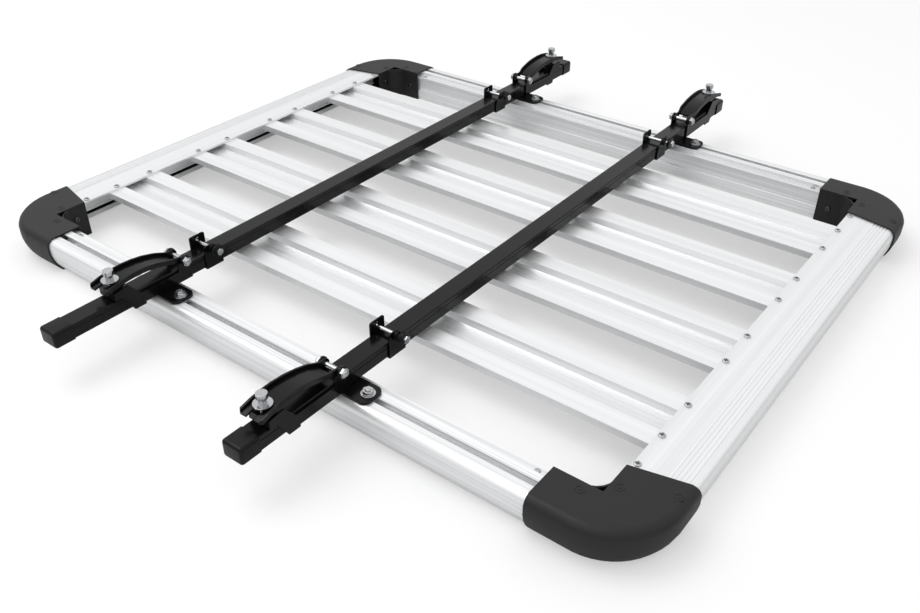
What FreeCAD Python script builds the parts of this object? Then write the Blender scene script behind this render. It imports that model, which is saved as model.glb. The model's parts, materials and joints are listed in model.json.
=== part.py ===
import FreeCAD
import Part
import math
import os

V = FreeCAD.Vector

# Millimetres. The rack lies upside down on its rim, as photographed: Z is up from the floor.
# X runs along the side rails and slats, Y along the crossbars, and the plan is centred on 0, 0.

# Rim of the tray
RAIL_H = 56.0
SIDE_OUT = 492.0
END_OUT = 605.0
RIM_FILLET = 12.0
WIDEST_DROP = 18.0
CURL_IN = 15.0
WALL = 1.6

# Corner caps, a plastic sleeve round the rail ends
CAP_WALL = 2.5
CAP_GAP = 0.3
CORNER_R = 95.0
CAP_LONG_X = 149.0
CAP_LONG_Y_INNER = 113.0
CAP_LONG_Y_OUTER = 136.0
CAP_INNER_R = 28.0
CAP_OVERRUN = 20.0
CAP_KEY_LONG = 20.0
FILLET_FLATS = 4
BULGE_FLATS = 4
CORNER_FLATS = 12
NOTCH_FLATS = 6

# Side rail, a hollow extrusion with a bolt slot along its top
SIDE_W = 56.8
SIDE_SHORTER = 100.0
SLOT_FROM_EDGE = 26.0
SLOT_W = 9.0
SLOT_LIP = 2.5
SLOT_INNER_W = 16.0
SLOT_DEPTH = 11.0
BAND_W = 43.0
LEDGE_DROP = 6.0
LEDGE_LIP = 4.0
RECESS = 3.0
LOW_BAND_H = 20.0

# End rail, with a flange inside that covers the slats' ends
END_W = 52.0
FLANGE_LONG = 29.0
FLANGE_T = 3.5
END_SHORTER = 100.0
FOOT_RUN = 14.0
FOOT_RISE = 8.0
INNER_SLOT_Z = 16.0
INNER_SLOT_H = 8.0
INNER_SLOT_DEEP = 8.0
SHELF_OUT = 3.0
SHELF_T = 2.5
GROOVE_COUNT = 5
GROOVE_PITCH = 5.2
GROOVE_FROM_EDGE = 13.2
GROOVE_W = 1.6
GROOVE_DEEP = 0.8

# Slats, two flat tubes joined by a thin web at the bottom of a trough
SLAT_COUNT = 4
SLAT_PITCH = 182.0
SLAT_W = 107.0
SLAT_T = 1.3
SLAT_H = 11.0
TROUGH_W = 46.0
TROUGH_SLOPE = 4.0
SLAT_WEB_T = 2.0
SLAT_END_GAP = 1.5

# Crossbars, rectangular tube with a plastic sleeve on each end
BAR_X = {"left": -206.0, "right": 158.0}
BAR_W = 30.0
BAR_H = 22.0
BAR_T = 1.5
BAR_CORNER = 2.0
BAR_CORNER_FLATS = 2
BAR_PAST_RAIL = 158.0
BAR_CAP_LONG = 30.0
BAR_CAP_T = 1.5
BAR_CAP_ROUND = 6.0
BAR_CAP_FLATS = 3
BAR_FIT = 0.3

# Plate between each crossbar and the rail, with the bolt that holds them together
PLATE_T = 4.0
PLATE_W = 38.0
PLATE_PAST_BAR = 2.0
PLATE_BOLT_PAST_BAR = 29.0
PLATE_TIP_PAST_BOLT = 12.0
PLATE_ROUND = 12.0
PLATE_FLATS = 4
STUD_R = 4.0
STUD_HOLE_GAP = 0.3
RAIL_WASHER_R = 10.0
WASHER_T = 1.6
HEAD_T = 4.5
HEAD_SIDE = 14.0
STUD_END = 2.0

# Jaw that slides along the crossbar: how far its pivot pin stands in from the rail's edge
PIN_FROM_EDGE = {
    ("left", "near"): 63.0,
    ("right", "near"): 10.0,
    ("left", "far"): 15.0,
    ("right", "far"): 2.0,
}
PIN_ABOVE_BAR = 9.0
PIN_R = 4.0
PIN_GAP = 0.05
EAR_R = 8.5
CHEEK_T = 2.5
SCOOP_DEEP = 4.0
SCOOP_START = 15.0
SCOOP_TO_BOLT = 32.5
LUG_INNER = 15.5
LUG_INNER_RISE = 17.0
LUG_OUTER = 5.5
LUG_OUTER_RISE = 14.5
FOOT_INNER = 37.5
FOOT_OUTER = 18.5
STRAP_T = 3.0
STRAP_INNER = 35.5
STRAP_OUTER = 19.5
NUT_BLOCK_RISE = 2.0
NUT_BLOCK_H = 12.0
NUT_BLOCK_HALF = 9.0
NUT_BLOCK_HOLE_R = 6.0

# Clamp arm, an arched channel: distances out from the pin and up from the bar's top
ARM_T = 3.0
ARM_REACH = (14.0, 72.0, 135.0)
ARM_UNDER = (10.0, 23.5, 17.0)
RIM_START = 9.0
ARM_CREST = (17.0, 31.5, 23.0)
ARM_EYE_R = 7.5
ARM_EYE_GAP = 0.8
ARM_WIDENS = ((12.0, 0.0), (25.0, 3.0), (72.0, 3.0), (135.0, 4.8))
ARM_TIP_CHAMFER = 3.0
ARM_SLOT_W = 13.0

# Arm bolt
BOLT_REACH = 113.5
BOLT_TIP_RISE = 5.5
ARM_WASHER_R = 12.5
ARM_WASHER_T = 2.0
ARM_NECK_R = 5.5
ARM_NECK_RISE = 36.0
ARM_HEAD_R = 7.5
ARM_HEAD_H = 7.0

# Stop bracket inboard of each jaw
STOP_T = 2.0
STOP_FROM_RAIL = 42.2
STOP_LONG = 32.0
STOP_EAR_LONG = 28.0
STOP_EAR_RISE = 18.0
STOP_NEAR_RISE = 14.0
STOP_NEAR_LONG = 18.0
STOP_NEAR_LOW = 6.0
STOP_BOLT_FROM_END = 14.0
STOP_BOLT_RISE = 7.0
STOP_BOLT_R = 3.0
STOP_HOLE_GAP = 0.2
STOP_SLOT_LONG = 4.0
KNOB_OFFSET = 12.0
KNOB_R = 9.0
KNOB_T = 3.0

# Shared hardware
NUT_R = 7.5
NUT_H = 5.0
SMALL_NUT_R = 5.8
SMALL_NUT_H = 5.0
SHAFT_SIDES = 12
DISC_SIDES = 16
HEX_SIDES = 6
EAR_FLATS = 8
ARCH_FLATS = 7

# Places that follow from the sizes
RAIL_Z = CAP_WALL + CAP_GAP
TOP = RAIL_Z + RAIL_H
BULGE_R = ((RAIL_H - WIDEST_DROP) ** 2 + CURL_IN ** 2) / (2 * CURL_IN)
SIDE_IN = SIDE_OUT - SIDE_W
SIDE_END = END_OUT - SIDE_SHORTER
SLOT_Y = SIDE_OUT - SLOT_FROM_EDGE
BAND_IN = SIDE_OUT - BAND_W
END_WALL_IN = END_OUT - END_W
FLANGE_IN = END_WALL_IN - FLANGE_LONG
END_RAIL_END = SIDE_OUT - END_SHORTER
CAP_ALONG_X = END_OUT - CAP_LONG_X
CAP_Y_INNER = SIDE_OUT - CAP_LONG_Y_INNER
CAP_Y_OUTER = SIDE_OUT - CAP_LONG_Y_OUTER
BAR_LOW = TOP + PLATE_T
BAR_TOP = BAR_LOW + BAR_H
BAR_Z = BAR_LOW + BAR_H / 2
BAR_END = SIDE_OUT + BAR_PAST_RAIL
BOLT_X = BAR_W / 2 + PLATE_BOLT_PAST_BAR
PIN_Z = BAR_TOP + PIN_ABOVE_BAR
CHEEK_IN = BAR_W / 2 + BAR_FIT
CHEEK_OUT = CHEEK_IN + CHEEK_T
ARM_HALF = CHEEK_IN - ARM_EYE_GAP
STOP_END = SIDE_IN - STOP_FROM_RAIL
STOP_OUT = CHEEK_IN + STOP_T
STOP_BOLT_Y = STOP_END - STOP_BOLT_FROM_END
STOP_BOLT_Z = BAR_TOP + STOP_BOLT_RISE
CORNER_REACH = 2 * CORNER_R + CAP_LONG_X

# How far a cut runs past the face that it opens
EXTRA = 1.0


def outline(points, place):
    """Closed face through points; a pair of pairs is an arc's middle and its end."""
    edges = []
    here = points[0]
    for step in points[1:] + [points[0]]:
        if len(step) == 2 and isinstance(step[0], tuple):
            middle, end = step
            edges.append(Part.Arc(place(*here), place(*middle), place(*end)).toShape())
            here = end
        elif step != here:
            edges.append(Part.LineSegment(place(*here), place(*step)).toShape())
            here = step
    return Part.Face(Part.Wire(edges))


def along_x(points, start, end):
    face = outline(points, lambda y, z: V(start, y, z))
    return face.extrude(V(end - start, 0, 0))


def along_y(points, start, end):
    face = outline(points, lambda x, z: V(x, start, z))
    return face.extrude(V(0, end - start, 0))


def along_z(points, start, end):
    face = outline(points, lambda x, y: V(x, y, start))
    return face.extrude(V(0, 0, end - start))


def box(x, y, z):
    return Part.makeBox(x[1] - x[0], y[1] - y[0], z[1] - z[0], V(x[0], y[0], z[0]))


def rod(radius, centre, direction, length):
    return Part.makeCylinder(radius, length, V(*centre), V(*direction))


def prism(sides, radius, centre, direction, length):
    """Many-sided prism whose corners lie at the radius."""
    across = V(0, 0, 1) if abs(direction[2]) < 0.5 else V(1, 0, 0)
    axis = V(*direction)
    side = axis.cross(across)
    corners = []
    for step in range(sides + 1):
        turn = 2 * math.pi * step / sides
        spoke = across * math.cos(turn) + side * math.sin(turn)
        corners.append(V(*centre) + spoke * radius)
    return Part.Face(Part.makePolygon(corners)).extrude(axis * length)


def hole(radius, centre, direction, length):
    """Prism for a plain hole, whose flats lie at the radius."""
    corner_radius = radius / math.cos(math.pi / SHAFT_SIDES)
    return prism(SHAFT_SIDES, corner_radius, centre, direction, length)


def tangent_points(centre, radius, start, end, count):
    """Corners of the flats that touch an arc from outside, its angles in radians."""
    step = (end - start) / count
    reach = radius / math.cos(step / 2)
    points = []
    for index in range(count):
        turn = start + step * (index + 0.5)
        points.append((centre[0] + reach * math.cos(turn), centre[1] + reach * math.sin(turn)))
    return points


def rim_points(outer, inner, grow, flats):
    """Rim section with the rounded top edge and the bulge that curls in under it."""
    bottom = RAIL_Z - grow
    bulge_mid = outer - BULGE_R
    bulge_z = TOP - WIDEST_DROP
    radius = BULGE_R + grow
    low_turn = math.asin((bulge_z - bottom) / radius)
    fillet = RIM_FILLET + grow
    fillet_mid = (outer - RIM_FILLET, TOP - RIM_FILLET)
    points = [(inner, bottom), (bulge_mid + radius * math.cos(low_turn), bottom)]
    if flats:
        points += tangent_points((bulge_mid, bulge_z), radius, -low_turn, 0, BULGE_FLATS)
        points += tangent_points(fillet_mid, fillet, 0, math.pi / 2, FILLET_FLATS)
    else:
        half = low_turn / 2
        diagonal = fillet * math.sqrt(0.5)
        points += [
            (
                (bulge_mid + radius * math.cos(half), bulge_z - radius * math.sin(half)),
                (bulge_mid + radius, bulge_z),
            ),
            (outer + grow, fillet_mid[1]),
            (
                (fillet_mid[0] + diagonal, fillet_mid[1] + diagonal),
                (fillet_mid[0], TOP + grow),
            ),
        ]
    return points + [(inner, TOP + grow)]


def side_rail():
    body = along_x(rim_points(SIDE_OUT, SIDE_IN, 0, False), -SIDE_END, SIDE_END)
    span = (-SIDE_END - EXTRA, SIDE_END + EXTRA)
    ledge = TOP - LEDGE_DROP
    low_y = SIDE_IN - EXTRA
    slot = (SLOT_Y - SLOT_W / 2, SLOT_Y + SLOT_W / 2)
    inner = (SLOT_Y - SLOT_INNER_W / 2, SLOT_Y + SLOT_INNER_W / 2)
    cuts = [
        box(span, (low_y, BAND_IN), (ledge, TOP + EXTRA)),
        box(span, (low_y, SIDE_IN + RECESS), (RAIL_Z + LOW_BAND_H, ledge - LEDGE_LIP)),
        box(span, slot, (TOP - SLOT_LIP - EXTRA, TOP + EXTRA)),
        box(span, inner, (TOP - SLOT_DEPTH, TOP - SLOT_LIP)),
    ]
    hollow = along_x(rim_points(SIDE_OUT, SIDE_IN + RECESS + WALL, -WALL, False), *span)
    under_slot = box(span, (SIDE_IN, SIDE_OUT), (0, TOP - SLOT_DEPTH - WALL))
    cuts.append(hollow.common(under_slot))
    return body.cut(cuts)


def end_rail():
    length = (-END_RAIL_END, END_RAIL_END)
    span = (-END_RAIL_END - EXTRA, END_RAIL_END + EXTRA)
    body = along_y(rim_points(END_OUT, END_WALL_IN, 0, False), *length)
    flange = box((FLANGE_IN, END_WALL_IN + EXTRA), length, (TOP - FLANGE_T, TOP))
    slot_z = RAIL_Z + INNER_SLOT_Z
    shelf_z = slot_z + INNER_SLOT_H
    shelf = box(
        (END_WALL_IN - SHELF_OUT, END_WALL_IN + EXTRA), length, (shelf_z, shelf_z + SHELF_T)
    )
    foot = along_y(
        [
            (END_WALL_IN - EXTRA, RAIL_Z - EXTRA),
            (END_WALL_IN + FOOT_RUN, RAIL_Z - EXTRA),
            (END_WALL_IN + FOOT_RUN, RAIL_Z),
            (END_WALL_IN, RAIL_Z + FOOT_RISE),
            (END_WALL_IN - EXTRA, RAIL_Z + FOOT_RISE),
        ],
        *span
    )
    slot = box((END_WALL_IN - EXTRA, END_WALL_IN + INNER_SLOT_DEEP), span, (slot_z, shelf_z))
    hollow_in = END_WALL_IN + FOOT_RUN + WALL
    hollow = along_y(rim_points(END_OUT, hollow_in, -WALL, False), *span)
    under_plate = box((hollow_in, END_OUT), span, (0, TOP - FLANGE_T))
    cuts = [foot, slot, hollow.common(under_plate)]
    for number in range(GROOVE_COUNT):
        x = END_OUT - GROOVE_FROM_EDGE - number * GROOVE_PITCH
        groove = (x - GROOVE_W / 2, x + GROOVE_W / 2)
        cuts.append(box(groove, span, (TOP - GROOVE_DEEP, TOP + EXTRA)))
    return body.fuse([flange, shelf]).cut(cuts).removeSplitter()


def corner_rim(grow):
    """Solid corner of the rim: what straight rims set round the corner's arc have in common."""
    straight = along_y(rim_points(CORNER_R, -CORNER_REACH, grow, True), -CORNER_REACH, CORNER_REACH)
    solid = straight
    for number in range(1, CORNER_FLATS + 1):
        turned = straight.copy()
        turned.rotate(V(0, 0, 0), V(0, 0, 1), 90 * number / CORNER_FLATS)
        solid = solid.common(turned)
    solid.translate(V(END_OUT - CORNER_R, SIDE_OUT - CORNER_R, 0))
    return solid


def cap_plan(inset, reach, rounded):
    """L-shaped plan of a cap; inset moves the inner walls, reach lengthens both open ends."""
    in_x = FLANGE_IN - CAP_GAP - CAP_WALL + inset
    in_y = SIDE_IN - CAP_GAP - CAP_WALL + inset
    far_x = END_OUT + CAP_OVERRUN
    far_y = SIDE_OUT + CAP_OVERRUN
    start = (CAP_ALONG_X - reach, in_y)
    notch = [(in_x, in_y)]
    if rounded:
        radius = CAP_INNER_R + inset
        centre = (in_x - radius, in_y - radius)
        notch = tangent_points(centre, radius, math.pi / 2, 0, NOTCH_FLATS)
    return [start] + notch + [
        (in_x, CAP_Y_INNER - reach),
        (far_x, CAP_Y_OUTER - reach),
        (far_x, far_y),
        (CAP_ALONG_X - reach, far_y),
    ]


def slot_key():
    """T-shaped key under a cap's plate, which fills the end of the side rail's slot."""
    neck = SLOT_W / 2 - CAP_GAP
    head = SLOT_INNER_W / 2 - CAP_GAP
    head_top = TOP - SLOT_LIP - CAP_GAP
    half = [(neck, TOP + CAP_GAP), (neck, head_top), (head, head_top)]
    half.append((head, TOP - SLOT_DEPTH + CAP_GAP))
    points = [(SLOT_Y + y, z) for y, z in half] + [(SLOT_Y - y, z) for y, z in reversed(half)]
    return along_x(points, CAP_ALONG_X, CAP_ALONG_X + CAP_KEY_LONG)


def corner_cap():
    outer = corner_rim(CAP_GAP + CAP_WALL)
    plate_z = TOP + CAP_GAP
    walls = outer.common(along_z(cap_plan(0, 0, True), -EXTRA, plate_z))
    plate = outer.common(
        along_z(cap_plan(0, 0, False), plate_z, plate_z + CAP_WALL + EXTRA)
    )
    inside = along_z(cap_plan(CAP_WALL, CAP_OVERRUN, True), -EXTRA, plate_z)
    cavity = corner_rim(CAP_GAP).common(inside)
    return walls.fuse(plate).cut(cavity).fuse(slot_key()).removeSplitter()


def slat():
    top = TOP - FLANGE_T
    low = top - SLAT_H
    half = SLAT_W / 2
    edge = TROUGH_W / 2
    floor_edge = edge - TROUGH_SLOPE
    reach = END_WALL_IN - SLAT_END_GAP
    side = [(half, low), (half, top), (edge, top), (floor_edge, low + SLAT_WEB_T)]
    body = along_x(side + [(-y, z) for y, z in reversed(side)], -reach, reach)
    chamber = [
        (half - SLAT_T, low + SLAT_T),
        (half - SLAT_T, top - SLAT_T),
        (edge + SLAT_T, top - SLAT_T),
        (floor_edge + SLAT_T, low + SLAT_T),
    ]
    tubes = []
    for hand in (1, -1):
        points = [(hand * y, z) for y, z in chamber]
        tubes.append(along_x(points, -reach - EXTRA, reach + EXTRA))
    return body.cut(tubes)


def rounded_section(half_x, half_z):
    """Rectangle about the bar's middle, in X and Z, whose corners are rounded by flats."""
    points = []
    quarter = math.pi / 2
    for number, (side_x, side_z) in enumerate(((1, 1), (-1, 1), (-1, -1), (1, -1))):
        centre = (side_x * (half_x - BAR_CORNER), BAR_Z + side_z * (half_z - BAR_CORNER))
        start = number * quarter
        points += tangent_points(centre, BAR_CORNER, start, start + quarter, BAR_CORNER_FLATS)
    return points


def crossbar():
    end = BAR_END - BAR_CAP_T - BAR_CAP_ROUND
    half_x = BAR_W / 2
    half_z = BAR_H / 2
    tube = along_y(rounded_section(half_x, half_z), -end, end)
    bore_x = (BAR_T - half_x, half_x - BAR_T)
    bore_z = (BAR_LOW + BAR_T, BAR_TOP - BAR_T)
    return tube.cut(box(bore_x, (-end - EXTRA, end + EXTRA), bore_z))


def sleeve_outline(half):
    """Outline of a bar cap across and along the bar, with its closed end rounded."""
    start = BAR_END - BAR_CAP_LONG
    centre = (half - BAR_CAP_ROUND, BAR_END - BAR_CAP_ROUND)
    tip = tangent_points(centre, BAR_CAP_ROUND, 0, math.pi / 2, BAR_CAP_FLATS)
    points = [(half, start)] + tip
    return points + [(-across, along) for across, along in reversed(points)]


def bar_cap():
    grow = BAR_FIT + BAR_CAP_T
    half_x = BAR_W / 2 + grow
    half_z = BAR_H / 2 + grow
    start = BAR_END - BAR_CAP_LONG
    side_view = [(along, BAR_Z + up) for up, along in sleeve_outline(half_z)]
    body = along_y(rounded_section(half_x, half_z), start, BAR_END)
    body = body.common(along_z(sleeve_outline(half_x), BAR_LOW - grow, BAR_TOP + grow))
    body = body.common(along_x(side_view, -half_x, half_x))
    socket = box(
        (-CHEEK_IN, CHEEK_IN),
        (start - EXTRA, BAR_END - BAR_CAP_T - BAR_CAP_ROUND),
        (BAR_LOW - BAR_FIT, BAR_TOP + BAR_FIT),
    )
    return body.cut(socket).removeSplitter()


def rail_plate():
    low = SLOT_Y - PLATE_W / 2
    high = SLOT_Y + PLATE_W / 2
    tip = BOLT_X + PLATE_TIP_PAST_BOLT
    start = -BAR_W / 2 - PLATE_PAST_BAR
    mid_x = tip - PLATE_ROUND
    quarter = math.pi / 2
    low_round = tangent_points(
        (mid_x, low + PLATE_ROUND), PLATE_ROUND, -quarter, 0, PLATE_FLATS
    )
    high_round = tangent_points(
        (mid_x, high - PLATE_ROUND), PLATE_ROUND, 0, quarter, PLATE_FLATS
    )
    points = [(start, low)] + low_round + high_round + [(start, high)]
    bolt_low = (BOLT_X, SLOT_Y, TOP - EXTRA)
    bolt_hole = hole(STUD_R + STUD_HOLE_GAP, bolt_low, (0, 0, 1), PLATE_T + 2 * EXTRA)
    return along_z(points, TOP, BAR_LOW).cut(bolt_hole)


def rail_bolt():
    head_z = TOP - SLOT_LIP - HEAD_T
    half = HEAD_SIDE / 2
    head = box(
        (BOLT_X - half, BOLT_X + half), (SLOT_Y - half, SLOT_Y + half), (head_z, head_z + HEAD_T)
    )
    up = (0, 0, 1)
    nut_z = BAR_LOW + WASHER_T
    end = nut_z + NUT_H + STUD_END
    stud = prism(SHAFT_SIDES, STUD_R, (BOLT_X, SLOT_Y, head_z), up, end - head_z)
    washer = prism(DISC_SIDES, RAIL_WASHER_R, (BOLT_X, SLOT_Y, BAR_LOW), up, WASHER_T)
    nut = prism(HEX_SIDES, NUT_R, (BOLT_X, SLOT_Y, nut_z), up, NUT_H)
    return head.fuse([stud, washer, nut]).removeSplitter()


def jaw_cheek():
    """Side view of the jaw: ear round the pin, scoop for the roof rail, lug at the bolt."""
    low = BAR_LOW - BAR_FIT - STRAP_T
    ear = tangent_points((0, PIN_Z), EAR_R, math.pi, 0, EAR_FLATS)
    return [(-EAR_R, BAR_LOW + BAR_FIT)] + ear + [
        (SCOOP_START, BAR_TOP - SCOOP_DEEP),
        (BOLT_REACH - SCOOP_TO_BOLT, BAR_TOP - SCOOP_DEEP),
        (BOLT_REACH - LUG_INNER, BAR_TOP + LUG_INNER_RISE),
        (BOLT_REACH + LUG_OUTER, BAR_TOP + LUG_OUTER_RISE),
        (BOLT_REACH - FOOT_OUTER, low),
        (BOLT_REACH - FOOT_INNER, low),
        (BOLT_REACH - FOOT_INNER, BAR_LOW + BAR_FIT),
    ]


def clamp_base():
    """Jaw about its pin at Y = 0: two cheeks, a strap under the bar and the nut block."""
    strap_z = BAR_LOW - BAR_FIT
    block_z = BAR_TOP + NUT_BLOCK_RISE
    strap = box(
        (-CHEEK_OUT, CHEEK_OUT),
        (BOLT_REACH - STRAP_INNER, BOLT_REACH - STRAP_OUTER),
        (strap_z - STRAP_T, strap_z),
    )
    nut_block = box(
        (-CHEEK_OUT, CHEEK_OUT),
        (BOLT_REACH - NUT_BLOCK_HALF, BOLT_REACH + NUT_BLOCK_HALF),
        (block_z, block_z + NUT_BLOCK_H),
    )
    solid = strap.fuse(
        [
            nut_block,
            along_x(jaw_cheek(), CHEEK_IN, CHEEK_OUT),
            along_x(jaw_cheek(), -CHEEK_OUT, -CHEEK_IN),
        ]
    )
    bolt_low = (0, BOLT_REACH, block_z - EXTRA)
    holes = [
        rod(PIN_R + PIN_GAP, (-BAR_W, 0, PIN_Z), (1, 0, 0), 2 * BAR_W),
        hole(NUT_BLOCK_HOLE_R, bolt_low, (0, 0, 1), NUT_BLOCK_H + 2 * EXTRA),
    ]
    return solid.cut(holes).removeSplitter()


def arch_height(rises, along):
    """Height on the circle through an arch's start, crest and end."""
    (y1, z1), (y2, z2), (y3, z3) = zip(ARM_REACH, rises)
    lean_a = (y2 - y1, z2 - z1, (y2 ** 2 - y1 ** 2 + z2 ** 2 - z1 ** 2) / 2)
    lean_b = (y3 - y2, z3 - z2, (y3 ** 2 - y2 ** 2 + z3 ** 2 - z2 ** 2) / 2)
    share = lean_a[0] * lean_b[1] - lean_b[0] * lean_a[1]
    mid_y = (lean_a[2] * lean_b[1] - lean_b[2] * lean_a[1]) / share
    mid_z = (lean_a[0] * lean_b[2] - lean_b[0] * lean_a[2]) / share
    radius = math.hypot(y1 - mid_y, z1 - mid_z)
    return BAR_TOP + mid_z + math.sqrt(radius ** 2 - (along - mid_y) ** 2)


def arch(rises):
    """Short flats along an arch, from the pin's end to the tip."""
    start, end = ARM_REACH[0], ARM_REACH[2]
    stations = [start + (end - start) * step / ARCH_FLATS for step in range(ARCH_FLATS + 1)]
    return [(along, arch_height(rises, along)) for along in stations]


def arm_plan(inset, overrun):
    """Plan of the arm about the pin, which widens from the eye to the forked tip."""
    start = -ARM_EYE_R - overrun
    side = [(ARM_HALF - inset, start)]
    for along, wider in ARM_WIDENS:
        side.append((ARM_HALF + wider - inset, along))
    tip_x, tip_y = side.pop()
    if overrun:
        side.append((tip_x, tip_y + overrun))
    else:
        side += [(tip_x, tip_y - ARM_TIP_CHAMFER), (tip_x - ARM_TIP_CHAMFER, tip_y)]
    return side + [(-x, y) for x, y in reversed(side)]


def clamp_arm():
    under = arch(ARM_UNDER)
    crest = arch(ARM_CREST)
    span = (-2 * ARM_HALF, 2 * ARM_HALF)
    web = along_x(under + [(along, z + ARM_T) for along, z in reversed(under)], *span)
    eye = tangent_points((0, PIN_Z), ARM_EYE_R, math.pi / 2, 3 * math.pi / 2, EAR_FLATS)
    eye_side = [(RIM_START, PIN_Z + ARM_EYE_R)] + eye + [(RIM_START, PIN_Z - ARM_EYE_R / 2)]
    rims = along_x(under + crest[:0:-1] + eye_side, *span)
    low_z = PIN_Z - 2 * ARM_EYE_R
    high_z = BAR_TOP + ARM_CREST[1] + ARM_EYE_R
    rims = rims.cut(along_z(arm_plan(ARM_T, ARM_EYE_R), low_z, high_z))
    solid = web.fuse(rims).common(along_z(arm_plan(0, 0), low_z, high_z))
    half = ARM_SLOT_W / 2
    holes = [
        box((-half, half), (BOLT_REACH, ARM_REACH[2] + EXTRA), (low_z, high_z)),
        prism(DISC_SIDES, half, (0, BOLT_REACH, low_z), (0, 0, 1), high_z - low_z),
        rod(PIN_R + PIN_GAP, (-BAR_W, 0, PIN_Z), (1, 0, 0), 2 * BAR_W),
    ]
    return solid.cut(holes).removeSplitter()


def arm_bolt():
    """Bolt about the pin at Y = 0; its washer sits on the sloping web."""
    seat = arch_height(ARM_UNDER, BOLT_REACH - ARM_WASHER_R) + ARM_T
    tip = BAR_TOP + BOLT_TIP_RISE
    neck_z = BAR_TOP + ARM_NECK_RISE
    up = (0, 0, 1)
    shank = prism(SHAFT_SIDES, STUD_R, (0, BOLT_REACH, tip), up, seat + ARM_WASHER_T - tip)
    washer = prism(DISC_SIDES, ARM_WASHER_R, (0, BOLT_REACH, seat), up, ARM_WASHER_T)
    neck = prism(SHAFT_SIDES, ARM_NECK_R, (0, BOLT_REACH, seat), up, neck_z - seat)
    head = prism(DISC_SIDES, ARM_HEAD_R, (0, BOLT_REACH, neck_z), up, ARM_HEAD_H)
    return shank.fuse([washer, neck, head]).removeSplitter()


def pivot_pin():
    across = (1, 0, 0)
    shaft = rod(PIN_R, (-CHEEK_OUT, 0, PIN_Z), across, 2 * CHEEK_OUT)
    head = prism(HEX_SIDES, NUT_R, (-CHEEK_OUT - NUT_H, 0, PIN_Z), across, NUT_H)
    nut = prism(HEX_SIDES, NUT_R, (CHEEK_OUT, 0, PIN_Z), across, NUT_H)
    return shaft.fuse([head, nut])


def stop_bracket():
    low = BAR_LOW - BAR_FIT - STOP_T
    start = STOP_END - STOP_LONG
    web = box((-STOP_OUT, STOP_OUT), (start, STOP_END), (low, low + STOP_T))
    tall = box(
        (-STOP_OUT, -CHEEK_IN), (STOP_END - STOP_EAR_LONG, STOP_END), (low, BAR_TOP + STOP_EAR_RISE)
    )
    shoulder = along_x(
        [
            (STOP_END, low),
            (STOP_END, BAR_TOP + STOP_NEAR_RISE),
            (STOP_END - STOP_NEAR_LONG, BAR_TOP + STOP_NEAR_RISE),
            (start, BAR_TOP - STOP_NEAR_LOW),
            (start, low),
        ],
        CHEEK_IN,
        STOP_OUT,
    )
    radius = STOP_BOLT_R + STOP_HOLE_GAP
    slot_top = STOP_BOLT_Z + STOP_SLOT_LONG
    slot = box(
        (-STOP_OUT - EXTRA, 0),
        (STOP_BOLT_Y - radius, STOP_BOLT_Y + radius),
        (STOP_BOLT_Z, slot_top),
    )
    holes = [
        slot,
        hole(radius, (-STOP_OUT - EXTRA, STOP_BOLT_Y, slot_top), (1, 0, 0), STOP_OUT),
        hole(radius, (-STOP_OUT - EXTRA, STOP_BOLT_Y, STOP_BOLT_Z), (1, 0, 0), 3 * STOP_OUT),
    ]
    return web.fuse([tall, shoulder]).cut(holes).removeSplitter()


def stop_bolt():
    """Cross bolt of the stop, with a round hand knob on its long end."""
    across = (1, 0, 0)
    centre = (STOP_BOLT_Y, STOP_BOLT_Z)
    knob_x = STOP_OUT + KNOB_OFFSET
    end = knob_x + KNOB_T + SMALL_NUT_H
    shaft = prism(SHAFT_SIDES, STOP_BOLT_R, (-STOP_OUT, *centre), across, end + STOP_OUT)
    head_x = -STOP_OUT - SMALL_NUT_H
    parts = [
        prism(HEX_SIDES, SMALL_NUT_R, (head_x, *centre), across, SMALL_NUT_H),
        prism(HEX_SIDES, SMALL_NUT_R, (STOP_OUT, *centre), across, SMALL_NUT_H),
        prism(DISC_SIDES, KNOB_R, (knob_x, *centre), across, KNOB_T),
        prism(HEX_SIDES, SMALL_NUT_R, (knob_x + KNOB_T, *centre), across, SMALL_NUT_H),
    ]
    return shaft.fuse(parts).removeSplitter()


def mirrored(shape, flip_x, flip_y):
    result = shape.copy()
    if flip_x:
        result = result.mirror(V(0, 0, 0), V(1, 0, 0))
    if flip_y:
        result = result.mirror(V(0, 0, 0), V(0, 1, 0))
    return result


def moved(shape, x, y):
    result = shape.copy()
    result.translate(V(x, y, 0))
    return result


def tray_nodes():
    side, end, cap, cross_slat = side_rail(), end_rail(), corner_cap(), slat()
    nodes = {}
    for depth, flip_y in (("near", True), ("far", False)):
        nodes["side_rail_" + depth] = mirrored(side, False, flip_y)
    for hand, flip_x in (("left", True), ("right", False)):
        nodes["end_rail_" + hand] = mirrored(end, flip_x, False)
        for depth, flip_y in (("near", True), ("far", False)):
            nodes["corner_cap_" + hand + "_" + depth] = mirrored(cap, flip_x, flip_y)
    first = -SLAT_PITCH * (SLAT_COUNT - 1) / 2
    for number in range(SLAT_COUNT):
        nodes["slat_" + str(number + 1)] = moved(cross_slat, 0, first + number * SLAT_PITCH)
    return nodes


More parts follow.
